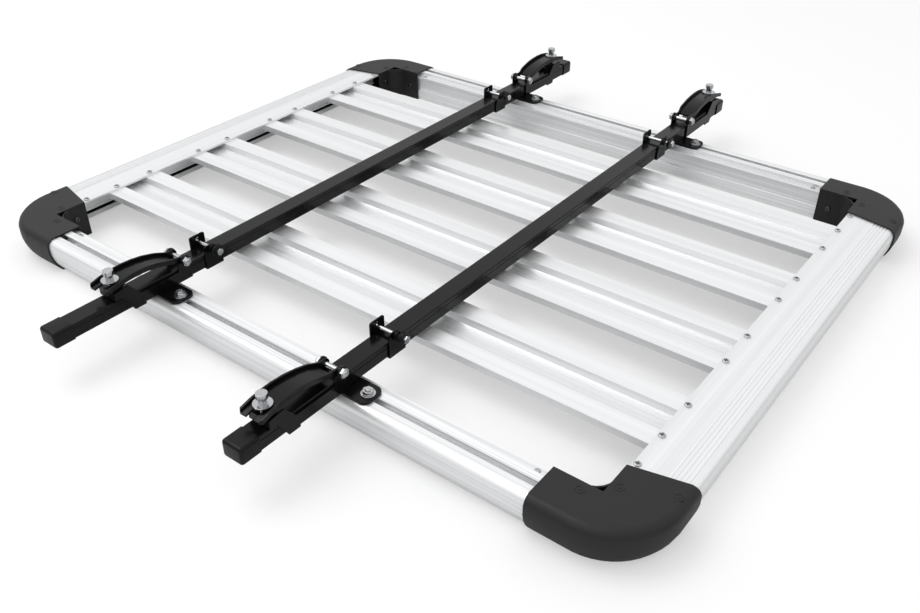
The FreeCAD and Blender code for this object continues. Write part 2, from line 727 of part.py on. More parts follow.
def crossbar_nodes():
    bar_parts = {
        "bar_cap": bar_cap(),
        "rail_plate": rail_plate(),
        "rail_bolt": rail_bolt(),
        "stop_bracket": stop_bracket(),
        "stop_bolt": stop_bolt(),
    }
    jaw_parts = {
        "clamp_base": clamp_base(),
        "clamp_arm": clamp_arm(),
        "arm_bolt": arm_bolt(),
        "pivot_pin": pivot_pin(),
    }
    bar = crossbar()
    nodes = {}
    for hand, x in BAR_X.items():
        nodes["crossbar_" + hand] = moved(bar, x, 0)
        for depth, flip_y in (("near", True), ("far", False)):
            end_name = "_" + hand + "_" + depth
            pin_y = SIDE_OUT - PIN_FROM_EDGE[(hand, depth)]
            for name, shape in bar_parts.items():
                nodes[name + end_name] = moved(mirrored(shape, False, flip_y), x, 0)
            for name, shape in jaw_parts.items():
                placed = moved(shape, 0, pin_y)
                nodes[name + end_name] = moved(mirrored(placed, False, flip_y), x, 0)
    return nodes


os.makedirs("parts", exist_ok=True)
for node_name, solid in {**tray_nodes(), **crossbar_nodes()}.items():
    solid.exportStep("parts/" + node_name + ".step")
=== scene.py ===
import json
import math

import bpy
from mathutils import Matrix, Vector


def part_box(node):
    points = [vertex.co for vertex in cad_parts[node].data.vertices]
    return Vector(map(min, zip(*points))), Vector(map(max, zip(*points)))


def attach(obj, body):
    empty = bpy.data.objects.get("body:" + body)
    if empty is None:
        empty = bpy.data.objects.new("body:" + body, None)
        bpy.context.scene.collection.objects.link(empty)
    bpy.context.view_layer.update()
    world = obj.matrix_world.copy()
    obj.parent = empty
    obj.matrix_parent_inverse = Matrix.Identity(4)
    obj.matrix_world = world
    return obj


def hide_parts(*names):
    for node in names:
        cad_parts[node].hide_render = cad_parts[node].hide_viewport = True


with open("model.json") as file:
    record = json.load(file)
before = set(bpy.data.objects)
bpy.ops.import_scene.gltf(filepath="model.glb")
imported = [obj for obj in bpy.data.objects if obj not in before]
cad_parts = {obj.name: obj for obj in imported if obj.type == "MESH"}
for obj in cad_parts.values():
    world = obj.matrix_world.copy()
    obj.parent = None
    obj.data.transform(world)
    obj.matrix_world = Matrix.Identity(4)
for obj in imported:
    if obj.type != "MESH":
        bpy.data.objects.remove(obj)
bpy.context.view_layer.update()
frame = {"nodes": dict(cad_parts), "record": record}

bl_info = {
    "name": "Roof rack finishing",
    "version": (1, 0, 0),
    "blender": (4, 5, 0),
    "location": "View3D > Sidebar > Roof rack",
    "description": "Dresses the packed roof rack with its fixings, mouldings and finishes",
    "category": "Object",
}

MM = 0.001

HANDS = ("left", "right")
DEPTHS = ("near", "far")
CORNERS = [(hand, depth) for hand in HANDS for depth in DEPTHS]
SLATS = ("slat_1", "slat_2", "slat_3", "slat_4")

# On which side of the rack's middle a piece lies, along X or along Y
SIGN = {"left": -1, "right": 1, "near": -1, "far": 1}

# The direction in which an extrusion's die lines run
ALONG_X = 0
ALONG_Y = 1

# The photograph's width, and the camera that fits its two rows of screws
PHOTO_WIDTH = 920
FOCAL_PIXELS = 938.4
CAMERA_YAW = math.radians(-37.129)
CAMERA_PITCH = math.radians(34.556)
CAMERA_ROLL = math.radians(0.159)
CAMERA_ABOVE_RIM = Vector((0.8419, -1.1207, 0.7628))

# The backdrop as the camera sees it, and the strength of the even light on the object
BACKDROP_WHITE = (0.985, 0.985, 0.985)
ROOM_LIGHT = 0.94

# The floor fades into the backdrop, whose share of it is FLOOR_GLOW as far as FLOOR_NEAR metres
# from the middle of the rack, and grows from there until nothing else is left at FLOOR_FAR
FLOOR_SIZE = 160
FLOOR_GLOW = 0.42
FLOOR_NEAR = 2.5
FLOOR_FAR = 9.0

# How much darker the floor is in reflections, and how bright the room is there at its horizon
FLOOR_SHADE_IN_GLOSS = 0.28
HORIZON_IN_GLOSS = 0.3

# Faces that meet at less than this angle are shaded as one round surface
SMOOTH_ANGLE = math.radians(35)

# A face points along an axis when its normal has at least this much of it
FACING = 0.9

# Height of the floor of a screw's crossed recess, as a share of its head's rise
RECESS_FLOOR = 0.4


def low(node):
    return Vector(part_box(node)[0])


def high(node):
    return Vector(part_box(node)[1])


def middle(node):
    return (low(node) + high(node)) / 2


RIM_TOP = high("end_rail_left").z


def linear_rgb(code):
    """A hex colour as it is seen, turned into linear red, green and blue."""
    channels = [int(code[i:i + 2], 16) / 255 for i in (1, 3, 5)]
    return tuple(c / 12.92 if c <= 0.04045 else ((c + 0.055) / 1.055) ** 2.4 for c in channels)


def shade(colour, share):
    """A colour made darker or lighter, as a socket takes it."""
    return [*(min(1, share * channel) for channel in colour), 1]


class RackSizes(bpy.types.PropertyGroup):
    screw_head: bpy.props.FloatProperty(
        name="Screw head", description="Diameter of the pan heads along the end rails",
        default=9.5 * MM, min=4 * MM, max=16 * MM, unit="LENGTH", subtype="DISTANCE")
    screw_rise: bpy.props.FloatProperty(
        name="Screw rise", description="Height of a pan head above the end rail",
        default=2.4 * MM, min=1 * MM, max=5 * MM, unit="LENGTH", subtype="DISTANCE")
    screw_pitch: bpy.props.FloatProperty(
        name="Screw pair", description="Distance between the two screws that hold a slat's end",
        default=70 * MM, min=30 * MM, max=100 * MM, unit="LENGTH", subtype="DISTANCE")
    rib_width: bpy.props.FloatProperty(
        name="Rib width", description="Width of a fine rib along a slat's trough",
        default=1.4 * MM, min=0.5 * MM, max=4 * MM, unit="LENGTH", subtype="DISTANCE")
    rib_count: bpy.props.IntProperty(
        name="Ribs", description="Fine ribs along each slat's trough", default=4, min=2, max=9)
    rivet_head: bpy.props.FloatProperty(
        name="Rivet head", description="Diameter of the rivets in the side rails' ledges",
        default=8.5 * MM, min=3 * MM, max=12 * MM, unit="LENGTH", subtype="DISTANCE")
    cap_corner: bpy.props.FloatProperty(
        name="Bar cap corner", description="Radius of the rounded corners of a crossbar's cap",
        default=4.6 * MM, min=1 * MM, max=5 * MM, unit="LENGTH", subtype="DISTANCE")
    knob_size: bpy.props.FloatProperty(
        name="Stop knob", description="Diameter of the hand knob on a stop's cross bolt",
        default=20 * MM, min=19 * MM, max=24 * MM, unit="LENGTH", subtype="DISTANCE")
    mark_size: bpy.props.FloatProperty(
        name="Moulding mark", description="Diameter of the round ejector marks on a corner cap",
        default=11 * MM, min=4 * MM, max=20 * MM, unit="LENGTH", subtype="DISTANCE")
    thread_pitch: bpy.props.FloatProperty(
        name="Thread pitch", description="Rise of a turn of thread on the larger bolts",
        default=1.25 * MM, min=0.7 * MM, max=2.5 * MM, unit="LENGTH", subtype="DISTANCE")


class RackColours(bpy.types.PropertyGroup):
    aluminium: bpy.props.FloatVectorProperty(
        name="Aluminium", description="Clear anodised aluminium",
        default=linear_rgb("#F2F3F4"), min=0, max=1, subtype="COLOR")
    moulding: bpy.props.FloatVectorProperty(
        name="Corner caps", description="Black glass-filled nylon of the corner caps",
        default=linear_rgb("#161617"), min=0, max=1, subtype="COLOR")
    end_cap: bpy.props.FloatVectorProperty(
        name="Bar caps", description="Black polyethylene of the crossbars' end caps",
        default=linear_rgb("#0A0A0B"), min=0, max=1, subtype="COLOR")
    coating: bpy.props.FloatVectorProperty(
        name="Powder coat", description="Black polyester powder coat on the steel",
        default=linear_rgb("#0A0A0B"), min=0, max=1, subtype="COLOR")
    zinc: bpy.props.FloatVectorProperty(
        name="Zinc plate", description="Bright zinc plating of the bolts",
        default=linear_rgb("#BFC1C3"), min=0, max=1, subtype="COLOR")
    # This colour is the small screws' dark zinc, and also paints the shade in the slat screws'
    # recesses
    dark_zinc_and_recess_shade: bpy.props.FloatVectorProperty(
        name="Dark zinc and recess shade", description="Darker zinc of the small screws and their recesses",
        default=linear_rgb("#5A5B5D"), min=0, max=1, subtype="COLOR")
    # This dark colour paints the shade in the end rails' slots
    slot_shade: bpy.props.FloatVectorProperty(
        name="Slot shade", description="Black painted slot shade that lines the end rails' slots",
        default=linear_rgb("#151515"), min=0, max=1, subtype="COLOR")
    floor: bpy.props.FloatVectorProperty(
        name="Floor", description="Pale studio floor and backdrop",
        default=linear_rgb("#F7F7F7"), min=0, max=1, subtype="COLOR")


def add_node(tree, kind, links=None, values=None, **settings):
    """Adds a node, sets its own settings, then its inputs' values and links by name."""
    node = tree.nodes.new(kind)
    for name, setting in settings.items():
        setattr(node, name, setting)
    for name, value in (values or {}).items():
        node.inputs[name].default_value = value
    for name, socket in (links or {}).items():
        tree.links.new(socket, node.inputs[name])
    return node


def new_material(name):
    """The empty node tree of a new material, and the object's own coordinates in it."""
    material = bpy.data.materials.new(name)
    material.use_nodes = True
    tree = material.node_tree
    tree.nodes.clear()
    place = add_node(tree, "ShaderNodeTexCoord").outputs["Object"]
    return tree, place


def finish_material(tree, shader):
    add_node(tree, "ShaderNodeOutputMaterial", {"Surface": shader.outputs["BSDF"]})


def anodised_extrusion(name, colour, along, darkest_line=0.93):
    """Clear anodised aluminium from a die: a silky sheen, faint drawn lines, painted reflection
    bands.
    """
    tree, place = new_material(name)
    line_width = 2.5 * MM  # real die lines are finer, and wouldn't show at this distance
    line_length = 600 * MM
    band_width = 13 * MM
    band_length = 3 * line_length
    scale = [1 / line_width] * 3
    scale[along] = 1 / line_length
    drawn = add_node(tree, "ShaderNodeMapping", {"Vector": place}, {"Scale": scale})
    lines = add_node(
        tree, "ShaderNodeTexNoise", {"Vector": drawn.outputs["Vector"]},
        {"Scale": 1.0, "Detail": 3.0, "Roughness": 0.6})
    sheen = add_node(
        tree, "ShaderNodeMapRange", {"Value": lines.outputs["Fac"]},
        {"From Min": 0.3, "From Max": 0.7, "To Min": 0.28, "To Max": 0.4})
    # The soft lighter and darker bands in the tint along the extrusion are painted reflections
    band_scale = [1 / band_width] * 3
    band_scale[along] = 1 / band_length
    banded = add_node(tree, "ShaderNodeMapping", {"Vector": place}, {"Scale": band_scale})
    bands = add_node(
        tree, "ShaderNodeTexNoise", {"Vector": banded.outputs["Vector"]},
        {"Scale": 1.0, "Detail": 1.0})
    soft = add_node(
        tree, "ShaderNodeMapRange", {"Value": bands.outputs["Fac"]},
        {"From Min": 0.35, "From Max": 0.65, "To Min": 0.0, "To Max": 1.0})
    painted_reflection_bands = add_node(
        tree, "ShaderNodeMixRGB", {"Fac": soft.outputs["Result"]},
        {"Color1": shade(colour, 0.93), "Color2": shade(colour, 1)})
    streaks = add_node(
        tree, "ShaderNodeMapRange", {"Value": lines.outputs["Fac"]},
        {"From Min": 0.35, "From Max": 0.65, "To Min": darkest_line, "To Max": 1.0})
    tint = add_node(
        tree, "ShaderNodeMixRGB",
        {"Color1": painted_reflection_bands.outputs["Color"], "Color2": streaks.outputs["Result"]},
        {"Fac": 1.0}, blend_type="MULTIPLY")
    groove = add_node(
        tree, "ShaderNodeBump", {"Height": lines.outputs["Fac"]},
        {"Strength": 0.25, "Distance": 0.05 * MM})
    metal = add_node(
        tree, "ShaderNodeBsdfPrincipled",
        {"Base Color": tint.outputs["Color"], "Roughness": sheen.outputs["Result"],
         "Normal": groove.outputs["Normal"]},
        {"Metallic": 0.6})
    finish_material(tree, metal)


def grained_moulding(name, colour, grain, roughness, ior):
    """Injection-moulded black plastic: a fine spark-eroded grain that scatters the light."""
    tree, place = new_material(name)
    cloud_size = 60 * MM
    pits = add_node(
        tree, "ShaderNodeTexNoise", {"Vector": place},
        {"Scale": 1 / grain, "Detail": 4.0, "Roughness": 0.65})
    cloud = add_node(
        tree, "ShaderNodeTexNoise", {"Vector": place}, {"Scale": 1 / cloud_size, "Detail": 2.0})
    tint = add_node(
        tree, "ShaderNodeMixRGB", {"Fac": cloud.outputs["Fac"]},
        {"Color1": shade(colour, 0.85), "Color2": shade(colour, 1.15)})
    sheen = add_node(
        tree, "ShaderNodeMapRange", {"Value": pits.outputs["Fac"]},
        {"From Min": 0.3, "From Max": 0.7, "To Min": roughness - 0.06, "To Max": roughness + 0.06})
    relief = add_node(
        tree, "ShaderNodeBump", {"Height": pits.outputs["Fac"]},
        {"Strength": 0.3, "Distance": 0.08 * MM})
    plastic = add_node(
        tree, "ShaderNodeBsdfPrincipled",
        {"Base Color": tint.outputs["Color"], "Roughness": sheen.outputs["Result"],
         "Normal": relief.outputs["Normal"]},
        {"IOR": ior})
    finish_material(tree, plastic)


def powder_coat(name, colour):
    """Cured polyester powder on steel: half-gloss black with a slight orange peel."""
    tree, place = new_material(name)
    peel_size = 2 * MM
    handled_size = 45 * MM
    peel = add_node(
        tree, "ShaderNodeTexNoise", {"Vector": place},
        {"Scale": 1 / peel_size, "Detail": 2.0, "Roughness": 0.5})
    handling = add_node(
        tree, "ShaderNodeTexNoise", {"Vector": place},
        {"Scale": 1 / handled_size, "Detail": 3.0})
    sheen = add_node(
        tree, "ShaderNodeMapRange", {"Value": handling.outputs["Fac"]},
        {"From Min": 0.3, "From Max": 0.7, "To Min": 0.16, "To Max": 0.26})
    tint = add_node(
        tree, "ShaderNodeMixRGB", {"Fac": handling.outputs["Fac"]},
        {"Color1": shade(colour, 0.85), "Color2": shade(colour, 1.1)})
    relief = add_node(
        tree, "ShaderNodeBump", {"Height": peel.outputs["Fac"]},
        {"Strength": 0.25, "Distance": 0.1 * MM})
    coat = add_node(
        tree, "ShaderNodeBsdfPrincipled",
        {"Base Color": tint.outputs["Color"], "Roughness": sheen.outputs["Result"],
         "Normal": relief.outputs["Normal"]},
        {"IOR": 1.28})
    finish_material(tree, coat)


def zinc_plate(name, colour):
    """Zinc electroplate on turned steel: a mirror sheen broken by faint mottling."""
    tree, place = new_material(name)
    mottle_size = 3 * MM
    mottle = add_node(
        tree, "ShaderNodeTexNoise", {"Vector": place}, {"Scale": 1 / mottle_size, "Detail": 3.0})
    sheen = add_node(
        tree, "ShaderNodeMapRange", {"Value": mottle.outputs["Fac"]},
        {"From Min": 0.3, "From Max": 0.7, "To Min": 0.14, "To Max": 0.26})
    tint = add_node(
        tree, "ShaderNodeMixRGB", {"Fac": mottle.outputs["Fac"]},
        {"Color1": shade(colour, 0.9), "Color2": shade(colour, 1)})
    metal = add_node(
        tree, "ShaderNodeBsdfPrincipled",
        {"Base Color": tint.outputs["Color"], "Roughness": sheen.outputs["Result"]},
        {"Metallic": 1.0})
    finish_material(tree, metal)


def finish(name):
    return bpy.data.materials[name]


def deselect():
    bpy.ops.object.select_all(action="DESELECT")


def take(obj):
    """Makes obj the only selected and active object."""
    deselect()
    obj.select_set(True)
    bpy.context.view_layer.objects.active = obj


def settle(obj, name):
    """Moves the object's place, turn and scale into its mesh."""
    take(obj)
    bpy.ops.object.transform_apply(location=True, rotation=True, scale=True)
    obj.name = name
    obj.data.name = name
    return obj


def points_up(centre, normal):
    """A test for pick_faces that finds the faces on top."""
    return normal.z > FACING


def pick_faces(obj, test):
    """Selects the faces whose centre and normal pass the test, and opens edit mode on them."""
    take(obj)
    bpy.ops.object.mode_set(mode="EDIT")
    bpy.ops.mesh.select_mode(type="FACE")
    bpy.ops.mesh.select_all(action="DESELECT")
    bpy.ops.object.mode_set(mode="OBJECT")
    for face in obj.data.polygons:
        face.select = test(face.center, face.normal)
    bpy.ops.object.mode_set(mode="EDIT")


def pick_edges(obj, test):
    """Selects the edges whose two ends pass the test, and opens edit mode on them."""
    take(obj)
    bpy.ops.object.mode_set(mode="EDIT")
    bpy.ops.mesh.select_mode(type="EDGE")
    bpy.ops.mesh.select_all(action="DESELECT")
    bpy.ops.object.mode_set(mode="OBJECT")
    points = obj.data.vertices
    for edge in obj.data.edges:
        edge.select = test(*(points[index].co for index in edge.vertices))
    bpy.ops.object.mode_set(mode="EDIT")


def leave_edit():
    bpy.ops.object.mode_set(mode="OBJECT")


def cylinder(radius, depth, place, sides):
    deselect()
    bpy.ops.mesh.primitive_cylinder_add(
        vertices=sides, radius=radius, depth=depth, location=place)
    return bpy.context.object


def block(size, place):
    deselect()
    bpy.ops.mesh.primitive_cube_add(size=1, location=place)
    obj = bpy.context.object
    obj.scale = size
    return settle(obj, "block")


def apply_modifier(obj, modifier):
    take(obj)
    bpy.ops.object.modifier_apply(modifier=modifier.name)


def bevel(obj, width, steps, angle):
    """Rounds the edges where faces meet at more than the given angle."""
    edge = obj.modifiers.new("bevel", "BEVEL")
    edge.width = width
    edge.segments = steps
    edge.limit_method = "ANGLE"
    edge.angle_limit = angle
    apply_modifier(obj, edge)


def cut_away(obj, tool):
    """Cuts the tool's shape out of obj and removes the tool."""
    cut = obj.modifiers.new("cut", "BOOLEAN")
    cut.operation = "DIFFERENCE"
    cut.solver = "EXACT"
    cut.object = tool
    apply_modifier(obj, cut)
    bpy.data.objects.remove(tool, do_unlink=True)


def join(pieces, name):
    deselect()
    for piece in pieces:
        piece.select_set(True)
    bpy.context.view_layer.objects.active = pieces[0]
    if len(pieces) > 1:
        bpy.ops.object.join()
    joined = bpy.context.object
    joined.name = name
    joined.data.name = name
    return joined


def set_out(pattern, places, name, turns=None):
    """Copies a pattern piece, each copy with its own mesh, to every place, and joins them."""
    copies = []
    for index, place in enumerate(places):
        copy = pattern.copy()
        copy.data = pattern.data.copy()
        bpy.context.collection.objects.link(copy)
        turn = turns[index] if turns else Matrix()
        copy.matrix_world = Matrix.Translation(place) @ turn
        settle(copy, name)
        copies.append(copy)
    bpy.data.objects.remove(pattern, do_unlink=True)
    return join(copies, name)


def dress(obj, body, material):
    """Gives a finished piece its material and the body that it rides on."""
    obj.data.materials.clear()
    obj.data.materials.append(finish(material))
    take(obj)
    bpy.ops.object.shade_smooth_by_angle(angle=SMOOTH_ANGLE)
    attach(obj, body)


class RACK_OT_finishes(bpy.types.Operator):
    """Make the finishes and put them on the CAD nodes"""
    bl_idname = "rack.finishes"
    bl_label = "Finishes"

    def execute(self, context):
        colours = context.scene.rack_colours
        brighter = shade(colours.aluminium, 1.09)[:3]
        # A duller copy of the aluminium paints the shade in the slats' troughs
        painted_trough_shade = shade(colours.aluminium, 0.94)[:3]
        anodised_extrusion("anodised aluminium along X", colours.aluminium, ALONG_X)
        anodised_extrusion("anodised aluminium along Y", colours.aluminium, ALONG_Y)
        anodised_extrusion(
            "anodised aluminium with die lines", brighter, ALONG_X, darkest_line=0.76)
        anodised_extrusion("anodised aluminium with painted trough shade", painted_trough_shade, ALONG_X)
        grained_moulding(
            "grained nylon", colours.moulding, grain=1.2 * MM, roughness=0.5, ior=1.42)
        grained_moulding(
            "moulded polyethylene", colours.end_cap, grain=0.9 * MM, roughness=0.3, ior=1.28)
        # Painted shade for the end rails' slots, made as a dark grained moulding
        grained_moulding(
            "painted slot shade", colours.slot_shade, grain=1.5 * MM, roughness=0.75, ior=1.4)
        powder_coat("black powder coat", colours.coating)
        zinc_plate("bright zinc plate", colours.zinc)
        zinc_plate("dark zinc and painted recess shade", colours.dark_zinc_and_recess_shade)
        by_prefix = {
            "side_rail": "anodised aluminium with die lines",
            "slat": "anodised aluminium along X",
            "end_rail": "anodised aluminium along Y",
            "corner_cap": "grained nylon",
            "bar_cap": "moulded polyethylene",
            "crossbar": "black powder coat",
            "rail_plate": "black powder coat",
            "clamp_base": "black powder coat",
            "clamp_arm": "black powder coat",
            "stop_bracket": "black powder coat",
            "rail_bolt": "bright zinc plate",
            "arm_bolt": "bright zinc plate",
            "pivot_pin": "bright zinc plate",
            "stop_bolt": "bright zinc plate",
        }
        for name, node in frame["nodes"].items():
            prefix = next(key for key in by_prefix if name.startswith(key))
            for slot in node.material_slots:
                slot.material = finish(by_prefix[prefix])
        return {"FINISHED"}


class RACK_OT_softened_edges(bpy.types.Operator):
    """Give the moulded, bent and turned pieces their smooth rounds and softened edges"""
    bl_idname = "rack.softened_edges"
    bl_label = "Softened edges"

    def execute(self, context):
        edge_radii = {
            "corner_cap": 0.9 * MM,
            "crossbar": 0,
            "rail_plate": 0.5 * MM,
            "clamp_base": 0.5 * MM,
            "clamp_arm": 0.5 * MM,
            "stop_bracket": 0.4 * MM,
            "rail_bolt": 0.3 * MM,
            "arm_bolt": 0.4 * MM,
            "pivot_pin": 0.6 * MM,
            "stop_bolt": 0.4 * MM,
        }
        body_of = {
            node: body for body, nodes in frame["record"]["behaviour"]["bodies"].items()
            for node in nodes
        }
        for name in sorted(body_of):
            prefix = next((key for key in edge_radii if name.startswith(key)), None)
            if prefix:
                soften(name, edge_radii[prefix], body_of[name])
        return {"FINISHED"}


def soften(name, radius, body):
    """Puts a merged copy with eased edges and smooth rounds in the place of a CAD node."""
    same_point = 0.005 * MM
    flat = math.radians(1)
    eased_from = math.radians(50)
    node = frame["nodes"][name]
    copy = node.copy()
    copy.data = node.data.copy()
    copy.parent = None
    copy.matrix_world = Matrix()
    copy.name = name + "_finished"
    bpy.context.collection.objects.link(copy)
    take(copy)
    bpy.ops.object.mode_set(mode="EDIT")
    bpy.ops.mesh.select_all(action="SELECT")
    bpy.ops.mesh.customdata_custom_splitnormals_clear()
    bpy.ops.mesh.remove_doubles(threshold=same_point)
    bpy.ops.mesh.dissolve_limited(angle_limit=flat)
    leave_edit()
    if name.startswith("crossbar"):
        cut_seams(copy, name)
    if name.startswith("stop_bracket"):
        round_ears(copy, name)
    if radius:
        bevel(copy, radius, 2, eased_from)
    take(copy)
    bpy.ops.object.shade_smooth_by_angle(angle=SMOOTH_ANGLE)
    weighted = copy.modifiers.new("weighted", "WEIGHTED_NORMAL")
    weighted.keep_sharp = True
    apply_modifier(copy, weighted)
    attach(copy, body)
    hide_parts(name)


def round_ears(bracket, name):
    """Rounds the upper corners of a stop bracket's ears, where short edges run along X."""
    corner = 3.5 * MM
    shortest = 1 * MM
    ears_from = high(name).z - 5 * MM
    pick_edges(bracket, lambda a, b: min(a.z, b.z) > ears_from and abs(a.x - b.x) > shortest)
    bpy.ops.mesh.bevel(offset=corner, segments=5, affect="EDGES")
    leave_edit()


def cut_seams(bar, name):
    """Cuts the fine rolled line that runs along both sides of a crossbar's tube."""
    wide = 1.1 * MM
    deep = 0.5 * MM
    below_top = 6.5 * MM
    long = 1.1 * (high(name).y - low(name).y)
    for side in (low(name).x, high(name).x):
        place = (side, middle(name).y, high(name).z - below_top)
        cut_away(bar, block((2 * deep, long, wide), place))


class RACK_OT_bar_caps(bpy.types.Operator):
    """Push-on caps on the crossbars' ends, with their corners well rounded"""
    bl_idname = "rack.bar_caps"
    bl_label = "Bar caps"

    def execute(self, context):
        corner = context.scene.rack_sizes.cap_corner
        tip_corner = 0.95 * corner
        at_tip = 0.01 * MM
        wall = 1.8 * MM
        end_wall = 7.5 * MM
        for hand, depth in CORNERS:
            name = "bar_cap_" + hand + "_" + depth
            near = depth == "near"
            size = high(name) - low(name)
            cap = block(size, middle(name))
            pick_edges(cap, lambda a, b: abs(a.y - b.y) > size.y / 2)
            bpy.ops.mesh.bevel(offset=corner, segments=6, affect="EDGES")
            leave_edit()
            tip = low(name).y if near else high(name).y
            pick_edges(cap, lambda a, b: abs(a.y - tip) + abs(b.y - tip) < at_tip)
            bpy.ops.mesh.bevel(offset=tip_corner, segments=6, affect="EDGES")
            leave_edit()
            bore = Vector((size.x - 2 * wall, size.y, size.z - 2 * wall))
            inward = Vector((0, end_wall if near else -end_wall, 0))
            cut_away(cap, block(bore, middle(name) + inward))
            settle(cap, name + "_rounded")
            dress(cap, "crossbar_" + hand, "moulded polyethylene")
            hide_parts(name)
        return {"FINISHED"}


class RACK_OT_stop_knobs(bpy.types.Operator):
    """Black hand knobs and lock rings with ribbed rims on the stops' cross bolts"""
    bl_idname = "rack.stop_knobs"
    bl_label = "Stop knobs"

    def execute(self, context):
        sizes = context.scene.rack_sizes
        knob_radius = sizes.knob_size / 2
        knob_width = 4.6 * MM
        knob_from_end = 6.5 * MM
        ring_radius = 0.72 * knob_radius
        ring_width = 5.4 * MM
        ring_from_end = 17.5 * MM
        across = Matrix.Rotation(math.pi / 2, 4, "Y")
        for hand, depth in CORNERS:
            place = hand + "_" + depth
            bolt = "stop_bolt_" + place
            centre = middle(bolt)
            wheels = (
                ("stop_knob_", knob_radius, knob_width, knob_from_end),
                ("stop_ring_", ring_radius, ring_width, ring_from_end),
            )
            for name, radius, width, from_end in wheels:
                spot = Vector((high(bolt).x - from_end, centre.y, centre.z))
                wheel = set_out(
                    knurled_wheel(radius, width), [spot], name + place, [across])
                dress(wheel, "stop_" + place, "moulded polyethylene")
        return {"FINISHED"}


def knurled_wheel(radius, width):
    """A wheel about Z whose rim is broken into small ribs for the fingers."""
    rib_count = 30
    rib_half = 0.3 * MM
    groove_deep = 0.5 * MM
    rim = 0.25 * radius
    boss_share = 1.08
    wheel = cylinder(radius, width, (0, 0, 0), sides=rib_count)
    pick_faces(wheel, lambda centre, normal: abs(normal.z) < FACING)
    bpy.ops.mesh.inset(thickness=rib_half, depth=-groove_deep, use_individual=True)
    leave_edit()
    pick_faces(wheel, lambda centre, normal: abs(normal.z) > FACING)
    bpy.ops.mesh.inset(thickness=rim, depth=0)
    bpy.ops.transform.resize(value=(1, 1, boss_share))
    leave_edit()
    return settle(wheel, "wheel")


class RACK_OT_wall_screws(bpy.types.Operator):
    """Small dark screws through the corner caps' inner walls into the rails"""
    bl_idname = "rack.wall_screws"
    bl_label = "Cap wall screws"

    def execute(self, context):
        sizes = context.scene.rack_sizes
        on_end_wall = Vector((521.2, 400, 37)) * MM
        on_side_wall = Vector((477, 432.4, 28.5)) * MM
        for hand, depth in CORNERS:
            to_x = Matrix.Rotation(-SIGN[hand] * math.pi / 2, 4, "Y")
            to_y = Matrix.Rotation(SIGN[depth] * math.pi / 2, 4, "X")
            places = [
                Vector((SIGN[hand] * place.x, SIGN[depth] * place.y, place.z))
                for place in (on_end_wall, on_side_wall)
            ]
            screws = set_out(
                pan_head(sizes), places, "wall_screws_" + hand + "_" + depth, [to_x, to_y])
            dress(screws, "rack", "dark zinc and painted recess shade")
        return {"FINISHED"}


class RACK_OT_slat_screws(bpy.types.Operator):
    """Pan-head screws along both end rails: a pair to each slat end and one at each corner"""
    bl_idname = "rack.slat_screws"
    bl_label = "Slat screws"

    def execute(self, context):
        sizes = context.scene.rack_sizes
        corner_y = 369 * MM
        from_edge = 6 * MM
        same_height = 0.05 * MM
        rows = [-corner_y, corner_y]
        for slat in SLATS:
            rows += [middle(slat).y - sizes.screw_pitch / 2, middle(slat).y + sizes.screw_pitch / 2]
        for hand in HANDS:
            rail = "end_rail_" + hand
            inner = low(rail).x + from_edge if hand == "right" else high(rail).x - from_edge
            places = [Vector((inner, y, RIM_TOP)) for y in sorted(rows)]
            screws = set_out(pan_head(sizes), places, "slat_screws_" + hand)
            dress(screws, "rack", "bright zinc plate")
            # The recess floors take the dark zinc as painted shade in the recesses
            screws.data.materials.append(finish("dark zinc and painted recess shade"))
            recess_z = RIM_TOP + RECESS_FLOOR * sizes.screw_rise
            for face in screws.data.polygons:
                in_recess = abs(face.center.z - recess_z) < same_height
                if in_recess and points_up(face.center, face.normal):
                    face.material_index = 1
        return {"FINISHED"}


def pan_head(sizes):
    """A pan-head screw seen from above, with a crossed recess in a domed head."""
    radius = sizes.screw_head / 2
    rise = sizes.screw_rise
    rounding = 0.45 * rise
    recess_long = 1.3 * radius
    recess_wide = 0.34 * radius
    head = cylinder(radius, rise, (0, 0, rise / 2), sides=28)
    pick_faces(head, points_up)
    bpy.ops.mesh.bevel(offset=rounding, segments=3, affect="EDGES")
    leave_edit()
    settle(head, "pan_head")
    for size in ((recess_long, recess_wide, rise), (recess_wide, recess_long, rise)):
        cut_away(head, block(size, (0, 0, rise * (RECESS_FLOOR + 0.5))))
    return head


class RACK_OT_slat_ribs(bpy.types.Operator):
    """Fine ribs drawn along each slat's trough, and a sheet on its floor, duller to paint the
    trough's shade
    """
    bl_idname = "rack.slat_ribs"
    bl_label = "Slat ribs"

    def execute(self, context):
        sizes = context.scene.rack_sizes
        web = 2 * MM
        ribbed_width = 30 * MM
        floor_width = 37.6 * MM
        rise = 0.35 * MM
        skin = 0.2 * MM
        crest_share = 0.5
        for slat in SLATS:
            bottom = low(slat)
            long = high(slat).x - bottom.x
            step = ribbed_width / (sizes.rib_count - 1)
            places = [
                Vector((0, middle(slat).y - ribbed_width / 2 + step * i, bottom.z + web))
                for i in range(sizes.rib_count)
            ]
            rib = block((long, sizes.rib_width, 2 * rise), (0, 0, 0))
            pick_faces(rib, points_up)
            bpy.ops.transform.resize(value=(1, crest_share, 1))
            leave_edit()
            ribs = set_out(rib, places, slat + "_ribs")
            # A thin sheet over the trough's floor carries the painted trough shade
            web_top = Vector((0, middle(slat).y, bottom.z + web))
            floor = block((long, floor_width, skin), web_top)
            ribs = join([ribs, floor], slat + "_ribs")
            dress(ribs, "rack", "anodised aluminium with painted trough shade")
        return {"FINISHED"}


